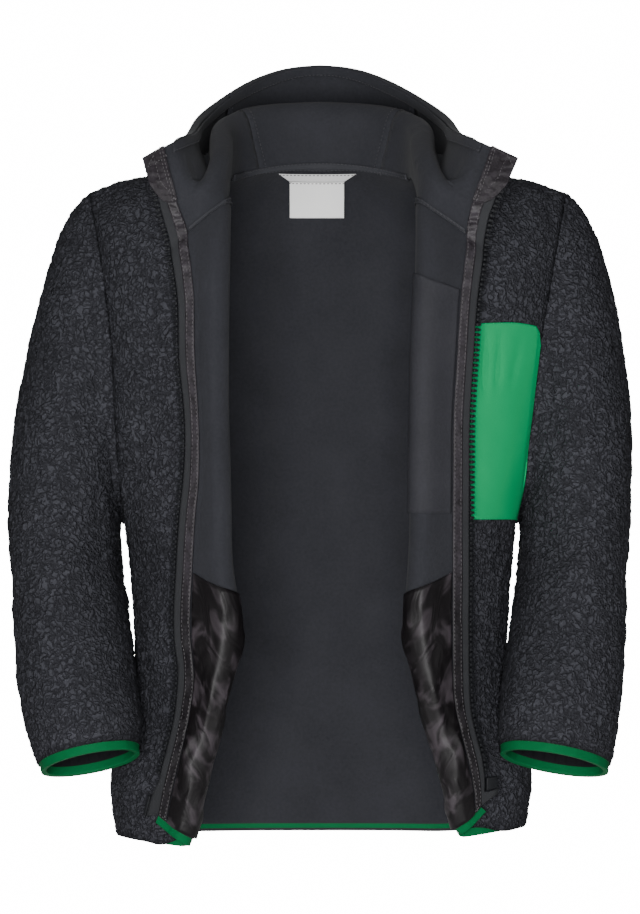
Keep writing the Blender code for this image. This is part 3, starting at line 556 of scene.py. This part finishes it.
# ------------------------------------------------------------------------ sewing
# Stitches are short dashes of thread sunk at both ends. One is modelled and copied
# along every sewn line, a fixed distance in from the edge of what it holds.
STITCH_LENGTH = 2.3 * MM
STITCH_PITCH = 3.2 * MM
STITCH_RADII = (0.42 * MM, 0.32 * MM)
STITCH_LIFT = 0.1 * MM
LONGEST_STEP = 20.0 * MM   # a gap in an outline that is longer than this isn't sewn
thread_grey = woven("thread_grey", (0.085, 0.080, 0.085), (0.05, 0.047, 0.05), 0.6, thread=2500)
thread_dark = woven("thread_dark", (0.050, 0.050, 0.056), (0.028, 0.028, 0.032), 0.6, thread=2500)

bpy.ops.mesh.primitive_uv_sphere_add(segments=6, ring_count=3, radius=1)
stitch = bpy.context.object
stitch.name = "one_stitch"
stitch.scale = (*STITCH_RADII, STITCH_LENGTH / 2)
bpy.ops.object.transform_apply(scale=True)
stitch_shape = stitch.data
bpy.data.objects.remove(stitch)


def outline(piece, mark=0):
    """Closed lines round the faces with a mark, each a list of (point, way in, normal)."""
    mesh = bmesh.new()
    mesh.from_mesh(piece.data)
    mesh.normal_update()
    border = {}
    for edge in mesh.edges:
        tops = [f for f in edge.link_faces if f.material_index == mark]
        if len(tops) == 1 and len(edge.link_faces) == 2:
            border[edge] = tops[0]
    lines = []
    while border:
        edge = next(iter(border))
        vertex = edge.verts[0]
        line = []
        while edge is not None:
            face = border.pop(edge)
            far = edge.other_vert(vertex)
            middle = (edge.verts[0].co + edge.verts[1].co) / 2
            run = (far.co - vertex.co).normalized()
            inward = face.calc_center_median() - middle
            inward = (inward - run * inward.dot(run)).normalized()
            line.append((middle, inward, face.normal.copy()))
            vertex = far
            edge = next((e for e in vertex.link_edges if e in border), None)
        lines.append(line)
    mesh.free()
    return lines


def evenly(line, pitch, closed=True):
    """Places at equal steps along a line: (point, direction, way in, normal)."""
    places = []
    left = pitch / 2
    steps = zip(line, line[1:] + (line[:1] if closed else []))
    for (a, in_a, n_a), (b, in_b, n_b) in steps:
        step = (b - a).length
        if step > LONGEST_STEP or step < 1e-7:
            continue
        while left <= step:
            t = left / step
            places.append((a.lerp(b, t), (b - a) / step, in_a.lerp(in_b, t).normalized(),
                           n_a.lerp(n_b, t).normalized()))
            left += pitch
        left -= step
    return places


def copies_along(name, shape, places, material):
    """One mesh of many copies of a shape, whose Z lies along and Y stands off."""
    mesh = bmesh.new()
    for point, along, side, up in places:
        up = (up - along * up.dot(along)).normalized()
        side = up.cross(along)
        turn = Matrix((side, up, along)).transposed().to_4x4()
        turn.translation = point
        first = len(mesh.verts)
        mesh.from_mesh(shape)
        mesh.verts.ensure_lookup_table()
        bmesh.ops.transform(mesh, matrix=turn, verts=mesh.verts[first:])
    data = bpy.data.meshes.new(name)
    mesh.to_mesh(data)
    mesh.free()
    data.shade_smooth()
    data.materials.clear()
    data.materials.append(material)
    piece = bpy.data.objects.new(name, data)
    bpy.context.scene.collection.objects.link(piece)
    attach(piece, "root")
    return piece


def sewn(piece, insets_mm, thread, keep=lambda point, inward: True, mark=0):
    """Stitch rows along a piece's edges, where keep says so, laid on its marked face."""
    face = BVHTree.FromPolygons([v.co for v in piece.data.vertices],
                                [p.vertices for p in piece.data.polygons
                                 if p.material_index == mark])
    places = []
    for inset in insets_mm:
        for line in outline(piece, mark):
            moved = [(p + i * inset * MM, i, n) for p, i, n in line]
            for p, a, i, n in evenly(moved, STITCH_PITCH):
                spot, normal = face.find_nearest(p)[:2]
                if keep(p, i) and normal is not None:
                    places.append((spot + normal * STITCH_LIFT, a, i, normal))
    return copies_along("stitches_" + piece.name, stitch_shape, places, thread)


# The hood's two long seams are sewn down flat inside, a finger's width from each seam.
sewn(bpy.data.objects["fleece_hood_centre"], [6.0], thread_dark,
     lambda p, i: abs(i.x) > 0.5, mark=1)

# ------------------------------------------------------------- facings and guards
# A strip of glossy taffeta covers each raw edge beside the zip, inside, and a
# doubled piece of it folds over the top of the zip to keep it off the chin.
# Its strong blotches of light and dark paint the sheen and shade of small puckers into the
# colour.
TAFFETA = (0.031, 0.0262, 0.0325)
taffeta = woven("taffeta", TAFFETA, (0.0060, 0.0048, 0.0058), 0.50, thread=600, blotch=170,
                depth=0.0004, shine=0.25, spread=0.16)
# Lower down, about where the pocket bags begin, the facing's colour is painted darker as the
# shadow that falls on it there.
tree = taffeta.node_tree
place = linked(taffeta, "ShaderNodeTexCoord")
apart = linked(taffeta, "ShaderNodeSeparateXYZ")
low_shadow_ramp = linked(taffeta, "ShaderNodeMapRange", interpolation_type="SMOOTHSTEP")
low_shadow_ramp.inputs["From Min"].default_value = -0.37
low_shadow_ramp.inputs["From Max"].default_value = -0.31
low_shadow_ramp.inputs["To Min"].default_value = 0.42
shadowed_colour = linked(taffeta, "ShaderNodeVectorMath", operation="SCALE")
for source, target in (
        (place.outputs["Object"], apart.inputs[0]),
        (apart.outputs["Z"], low_shadow_ramp.inputs["Value"]),
        (tree.nodes["Group"].outputs["Colour"], shadowed_colour.inputs[0]),
        (low_shadow_ramp.outputs["Result"], shadowed_colour.inputs["Scale"]),
        (shadowed_colour.outputs[0], tree.nodes["Principled BSDF"].inputs["Base Color"])):
    tree.links.new(source, target)
# The guard is the same taffeta painted darker, as the shade it lies in.
shaded_guard_taffeta = woven("taffeta_guard", (0.0225, 0.0188, 0.0232), (0.0070, 0.0056, 0.0068), 0.55,
                      thread=600, blotch=170, depth=0.0004, shine=0.15, spread=0.16)
IN_FRONT = (0, -1, 0)


def pucker(size_mm, height_mm, upright=1.0):
    """Small uneven puckers of a sewn strip; upright above 1 flattens them into bars."""
    def height(point):
        spot = Vector((point.x, point.y, point.z * upright)) / (size_mm * MM)
        return height_mm * MM * noise.noise(spot)
    return height


GUARD_FOOT = -0.045        # height where the facing comes out from under the guard
BAG_TOP_MM = -360


def facing_height(point):
    """The facing's puckers, deeper below the chin guard and beside the pocket bags."""
    deeper = 1 + 1.4 * math.exp(-((point.z - GUARD_FOOT) / 0.014) ** 2)
    deeper += 0.8 * (1 - eased(point.z, BAG_TOP_MM, 50))
    return deeper * pucker(12, 0.9, 2.6)(point)


for side, sign in (("right", -1), ("left", 1)):
    strip = squared_copy("facing_" + side, "taffeta_facing_" + side, IN_FRONT, 0.9)
    strip.data.materials.append(taffeta)
    refined(strip, 3)
    raise_points(strip, facing_height, 1.5 * MM)
    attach(strip, "root")
    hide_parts("facing_" + side)
    stitches = sewn(strip, [1.3], thread_grey)

    guard = squared_copy("chin_guard_" + side, "taffeta_guard_" + side, IN_FRONT, 1.0)
    guard.data.materials.append(shaded_guard_taffeta)
    refined(guard, 3)
    raise_points(guard, pucker(6, 0.8, 1.6), 1.5 * MM)
    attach(guard, "root")
    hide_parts("chin_guard_" + side)
    stitches = sewn(guard, [1.8, 4.0], thread_grey, lambda p, i: i.x * sign > 0.5)
    outer_row = sewn(guard, [9.0], thread_grey, lambda p, i: i.x * sign < -0.5)

# --------------------------------------------------------------------------- zip
# A moulded jacket zip: woven tapes, teeth 4 mm apart moulded over each tape's cord,
# a pin at the foot of the wearer's right tape and a box on the left one.
TOOTH_PITCH = 4.0 * MM
TOOTH_BLOCK = (2.2 * MM, 3.0 * MM, 2.5 * MM)
TOOTH_STEPS = ((0.5, 0.66), (0.8, 1.2), (0.5, 0.8))    # each runs on in mm, and widens
CORD_INSET = 1.6 * MM      # the teeth's cord lies out past the tape's edge
CORD_SINK = 0.5 * MM
BARE_END = 2.0 * MM        # of the tape beyond the teeth
tape_cloth = woven("zip_tape", (0.026, 0.027, 0.030), (0.012, 0.0125, 0.014), 0.8, thread=1500,
                   depth=0.0003)
moulded = plain_material("moulded_teeth", (0.0085, 0.009, 0.0105), 0.5, shine=0.12)
tree = moulded.node_tree
scuff = linked(moulded, "ShaderNodeTexNoise")
scuff.inputs["Scale"].default_value = 400
scuffed = linked(moulded, "ShaderNodeMapRange")
scuffed.inputs["To Min"].default_value = 0.42
scuffed.inputs["To Max"].default_value = 0.6
place = linked(moulded, "ShaderNodeTexCoord")
tree.links.new(place.outputs["Object"], scuff.inputs["Vector"])
tree.links.new(scuff.outputs["Fac"], scuffed.inputs["Value"])
tree.links.new(scuffed.outputs["Result"], tree.nodes["Principled BSDF"].inputs["Roughness"])

# One tooth: a block over the cord, drawn in to a neck and out to a head.
bpy.ops.mesh.primitive_cube_add(size=1)
tooth = bpy.context.object
tooth.name = "one_tooth"
tooth.scale = TOOTH_BLOCK
bpy.ops.object.transform_apply(scale=True)
mesh = bmesh.new()
mesh.from_mesh(tooth.data)
for length, width in TOOTH_STEPS:
    tip = max(mesh.faces, key=lambda f: f.calc_center_median().x)
    out = bmesh.ops.extrude_discrete_faces(mesh, faces=[tip])["faces"][0]
    centre = out.calc_center_median()
    for vertex in out.verts:
        vertex.co.x += length * MM
        vertex.co.z = centre.z + (vertex.co.z - centre.z) * width
        vertex.co.y = centre.y + (vertex.co.y - centre.y) * (0.5 + width / 2)
bmesh.ops.bevel(mesh, geom=mesh.edges[:], offset=0.22 * MM, segments=1, affect="EDGES")
bmesh.ops.recalc_face_normals(mesh, faces=mesh.faces)
mesh.to_mesh(tooth.data)
mesh.free()
tooth_shape = tooth.data
bpy.data.objects.remove(tooth)

for side, sign in (("right", -1), ("left", 1)):
    tape = squared_copy("zip_tape_" + side, "woven_tape_" + side, IN_FRONT, 0.9)
    tape.data.materials.append(tape_cloth)
    refined(tape, 2)
    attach(tape, "root")
    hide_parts("zip_tape_" + side)
    foot, head = (corner[2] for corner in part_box("zip_teeth_" + side))
    cord = [(p - i * CORD_INSET - n * CORD_SINK, -i, n)
            for line in outline(tape) for p, i, n in line
            if i.x * sign < -0.6 and foot + BARE_END < p.z < head - BARE_END]
    cord.sort(key=lambda item: item[0].z)
    places = evenly(cord, TOOTH_PITCH, closed=False)
    places = [(p, a * -sign, i, n) for p, a, i, n in places]
    teeth = copies_along("teeth_" + side, tooth_shape, places, moulded)
    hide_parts("zip_teeth_" + side)

for node in ("zip_pin", "zip_box"):
    fitting = squared_copy(node, "moulded_" + node, IN_FRONT, 3)
    fitting.data.materials.append(moulded)
    edges = fitting.modifiers.new("rounded", "BEVEL")
    edges.width = 0.8 * MM
    edges.segments = 3
    bpy.context.view_layer.objects.active = fitting
    bpy.ops.object.modifier_apply(modifier=edges.name)
    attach(fitting, "root")
    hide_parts(node)

# ----------------------------------------------------------------------- pockets
# The bags of the hand pockets are thin glossy taffeta, caught under the facing and
# in the hem, and hang in slanting crumpled folds. The chest pocket's bag is the
# lining knit, sewn flat. Its outside is one green panel let into the front.
# The bags' cloth is dark; a lighter colour is painted along the ridges of its creases as
# highlights.
BAG_PAINTED_HIGHLIGHT = (0.036, 0.030, 0.035)
BAG_DEEP = (0.0040, 0.0032, 0.0038)
bag_cloth = plain_material("bag_taffeta", BAG_PAINTED_HIGHLIGHT, 0.5, shine=0.22)
tree = bag_cloth.node_tree
place = linked(bag_cloth, "ShaderNodeTexCoord")
apart = linked(bag_cloth, "ShaderNodeSeparateXYZ")
outward = linked(bag_cloth, "ShaderNodeMath", operation="ABSOLUTE")
joined = linked(bag_cloth, "ShaderNodeCombineXYZ")
slant = linked(bag_cloth, "ShaderNodeMapping", vector_type="TEXTURE")
slant.inputs["Rotation"].default_value = (0, math.radians(30), 0)
slant.inputs["Scale"].default_value = (1.0, 1.0, 2.6)
creases = linked(bag_cloth, "ShaderNodeTexNoise")
creases.inputs["Scale"].default_value = 75
creases.inputs["Detail"].default_value = 2.5
creases.inputs["Distortion"].default_value = 0.9
# The creases' ridges take the lighter colour, a painted highlight.
shine_on = linked(bag_cloth, "ShaderNodeMapRange", interpolation_type="SMOOTHSTEP")
shine_on.inputs["From Min"].default_value = 0.47
shine_on.inputs["From Max"].default_value = 0.70
deep = linked(bag_cloth, "ShaderNodeMix", data_type="RGBA")
deep.inputs["A"].default_value = (*BAG_DEEP, 1)
deep.inputs["B"].default_value = (*BAG_PAINTED_HIGHLIGHT, 1)
relief = linked(bag_cloth, "ShaderNodeBump")
relief.inputs["Strength"].default_value = 0.7
relief.inputs["Distance"].default_value = 0.0022
for source, target in (
        (place.outputs["Object"], apart.inputs[0]),
        (apart.outputs["X"], outward.inputs[0]),
        (outward.outputs[0], joined.inputs["X"]),
        (apart.outputs["Y"], joined.inputs["Y"]),
        (apart.outputs["Z"], joined.inputs["Z"]),
        (joined.outputs[0], slant.inputs["Vector"]),
        (slant.outputs["Vector"], creases.inputs["Vector"]),
        (creases.outputs["Fac"], shine_on.inputs["Value"]),
        (shine_on.outputs["Result"], deep.inputs["Factor"]),
        (deep.outputs["Result"], tree.nodes["Principled BSDF"].inputs["Base Color"]),
        (creases.outputs["Fac"], relief.inputs["Height"]),
        (relief.outputs["Normal"], tree.nodes["Principled BSDF"].inputs["Normal"])):
    tree.links.new(source, target)
knit = woven("pocket_knit", (0.0282, 0.0285, 0.0340), (0.0150, 0.0152, 0.0185), 0.8,
             thread=420, depth=0.0004, spread=0.3)
green_cloth = woven("green_cloth", (0.0, 0.290, 0.100), (0.0, 0.220, 0.074), 0.8, thread=1100,
                    blotch=22, depth=0.0002, shine=0.05)


def bag_crumple(sign):
    """Slanting creases of the bag's thin cloth."""
    def height(point):
        down = Vector((point.x * sign + point.z * 0.45, point.y, point.z * 0.36))
        crease = 1 - abs(noise.noise(down / (11 * MM)))
        small = 1 - abs(noise.noise(down / (6 * MM) + Vector((5, 0, 0))))
        return (2.4 * crease ** 3 + 1.2 * small ** 3 - 0.8) * MM
    return height


for side, sign in (("right", -1), ("left", 1)):
    bag = squared_copy("hand_pocket_bag_" + side, "pocket_bag_" + side, IN_FRONT, 1.5)
    bag.data.materials.append(bag_cloth)
    refined(bag, 2)
    raise_points(bag, bag_crumple(sign), 12 * MM)
    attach(bag, "root")
    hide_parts("hand_pocket_bag_" + side)
    stitches = sewn(bag, [2.0], thread_dark)
    hem_row = sewn(bag, [7.0], thread_dark, lambda p, i: i.z < -0.5)

bag = squared_copy("chest_pocket_bag", "chest_bag", IN_FRONT, 1)
bag.data.materials.append(knit)
refined(bag, 2)
raise_points(bag, pucker(30, 1.0), 10 * MM)
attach(bag, "root")
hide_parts("chest_pocket_bag")
stitches = sewn(bag, [1.5], thread_dark)

POCKET_FOLDS = [
    ((130, -80, -124), (131, -85, -184), -1.9, 3.4),
    ((141, -75, -127), (140, -80, -180), -1.6, 3.2),
    ((157, -64, -128), (151, -72, -176), -1.1, 4.0),
    ((152, -70, -225), (148, -74, -278), -1.0, 5),
    ((134, -84, -220), (140, -82, -278), 0.8, 6),
]
pocket = squared_copy("chest_pocket", "green_chest_pocket", IN_FRONT, 1.5)
pocket.data.materials.append(green_cloth)
refined(pocket, 3)
raise_points(pocket, lambda p: fold_height(POCKET_FOLDS, p), 8 * MM)
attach(pocket, "root")
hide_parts("chest_pocket")

# ----------------------------------------------------- tapes, hood hem and label
# Knit tape covers the neck seam inside, the hood's edge is turned in and stitched,
# and a blank woven label hangs from a short tab under the back neck tape.
neck_knit = woven("neck_tape_knit", (0.0300, 0.0308, 0.0360), (0.0220, 0.0226, 0.0265), 0.8,
                  thread=900, depth=0.0003)
for node in ("neck_tape_back", "neck_tape_right", "neck_tape_left", "hood_hem"):
    tape = squared_copy(node, "sewn_" + node, IN_FRONT, 0.9)
    tape.data.materials.append(smooth_face if node == "hood_hem" else neck_knit)
    refined(tape, 2)
    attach(tape, "root")
    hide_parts(node)
    stitches = sewn(tape, [0.9], thread_dark,
                    lambda p, i: node != "hood_hem" or i.z > 0)
    flat = {"neck_tape_back": (0.010, 0.17), "hood_hem": (0.010, 0.57)}.get(node, (0.010, 0.040))

label_weave = woven("label_weave", (0.86, 0.86, 0.85), (0.74, 0.74, 0.73), 0.6, thread=1800,
                    depth=0.0002)
tab_weave = woven("tab_weave", (0.64, 0.64, 0.64), (0.54, 0.54, 0.54), 0.6, thread=1500)
LABEL_FOLD = [((-26, 80, -24.5), (21, 80, -24.5), -0.9, 0.7),
              ((-26, 90, -24.5), (21, 90, -24.5), -0.9, 0.7)]
for node, material, flat, slot in (("label_tab", tab_weave, (0.063, 0.010), "zip_tape"),
                                   ("label", label_weave, (0.044, 0.032), "label")):
    tag = squared_copy(node, "blank_" + node, IN_FRONT, 0.35)
    tag.data.materials.append(material)
    refined(tag, 2)
    cut_finer(tag, 3)
    raise_points(tag, lambda p: fold_height(LABEL_FOLD, p), 1 * MM)
    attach(tag, "root")
    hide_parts(node)
    stitches = sewn(tag, [1.2], thread_grey, lambda p, i: i.z < -0.5)

# ---------------------------------------------------------------------- bindings
# Green stretch binding is folded over the raw edges of the hem and the cuffs and
# sewn through near its upper edge, so that it stands a little rounded.
binding_cloth = woven("green_binding", (0.0, 0.112, 0.033), (0.0, 0.068, 0.020), 0.7,
                      thread=1200, blotch=40, depth=0.0002, shine=0.1)
thread_green = woven("thread_green", (0.0, 0.085, 0.027), (0.0, 0.055, 0.017), 0.6, thread=2500)


TUCK = 1.9 * MM            # how far a binding's upper edge runs into the cloth


def tuck_in(band, distance):
    """Run a binding's upper rim on into the cloth, so that no gap shows between them."""
    moves = {}
    for face in band.data.polygons:
        if face.normal.z > 0.6:
            for index in face.vertices:
                moves[index] = face.normal * distance
    for index, move in moves.items():
        band.data.vertices[index].co += move
    band.data.update()


for node, outward, flat in (("hem_binding_back", (0, 1, 0), (0.42, 0.011)),
                            ("hem_binding_right", (-1, -1, 0), (0.15, 0.011)),
                            ("hem_binding_left", (1, -1, 0), (0.13, 0.011)),
                            ("cuff_binding_right", (0, 0, -1), (0.24, 0.011)),
                            ("cuff_binding_left", (0, 0, -1), (0.24, 0.011))):
    band = squared_copy(node, "bound_" + node, outward, 7.5)
    band.data.materials.append(binding_cloth)
    tuck_in(band, TUCK)
    refined(band, 3)
    raise_points(band, pucker(9, 0.4), 2.0 * MM)
    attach(band, "root")
    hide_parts(node)
    stitches = sewn(band, [1.2], thread_green, lambda p, i: i.z < -0.5)
